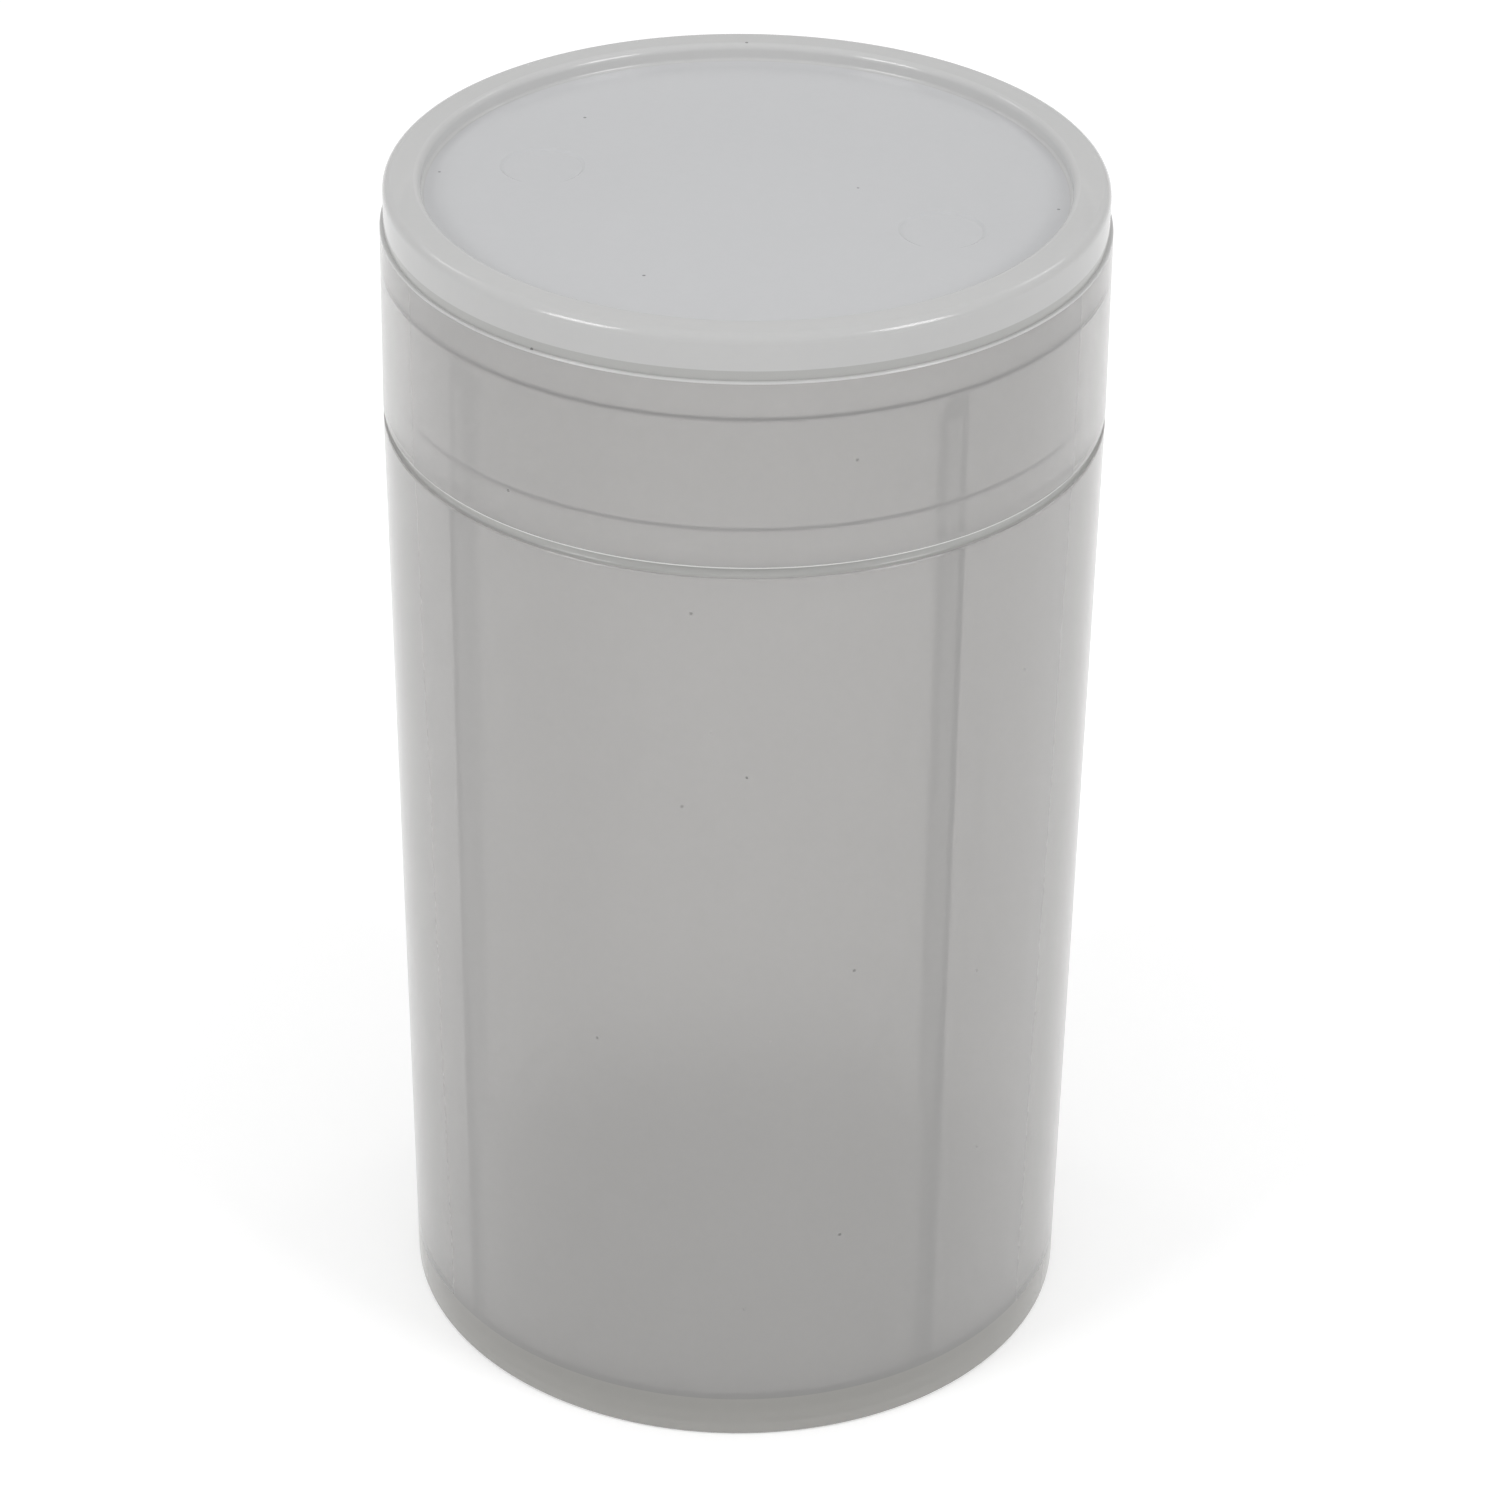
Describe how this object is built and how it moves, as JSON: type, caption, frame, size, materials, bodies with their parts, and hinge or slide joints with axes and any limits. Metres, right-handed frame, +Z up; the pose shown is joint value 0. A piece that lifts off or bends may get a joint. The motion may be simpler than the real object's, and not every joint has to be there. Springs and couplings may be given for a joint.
{
  "type": "coin tube",
  "caption": "Round translucent coin tube with upright coin guides inside, a foot ring to stand on and a flush push-on cap with a raised rim round a recessed panel.",
  "frame": {"origin": "centre of the foot ring, on the plane that the tube stands on", "axes": "+Z up along the axis of the tube, towards the cap; -Y towards the viewer of the picture"},
  "size_m": [0.0434, 0.0434, 0.0774],
  "materials": {
    "tube_plastic": "natural milky polypropylene, satin, lets light through",
    "cap_plastic": "natural milky polypropylene, satin, lets light through"
  },
  "bodies": {
    "tube": {"tube_body": "tube_plastic"},
    "cap": {"push_on_cap": "cap_plastic"}
  },
  "joints": [
    {"name": "cap_pull", "type": "slide", "parent": "tube", "child": "cap", "axis": [0, 0, 1], "range_m": [0, 0.1]}
  ]
}
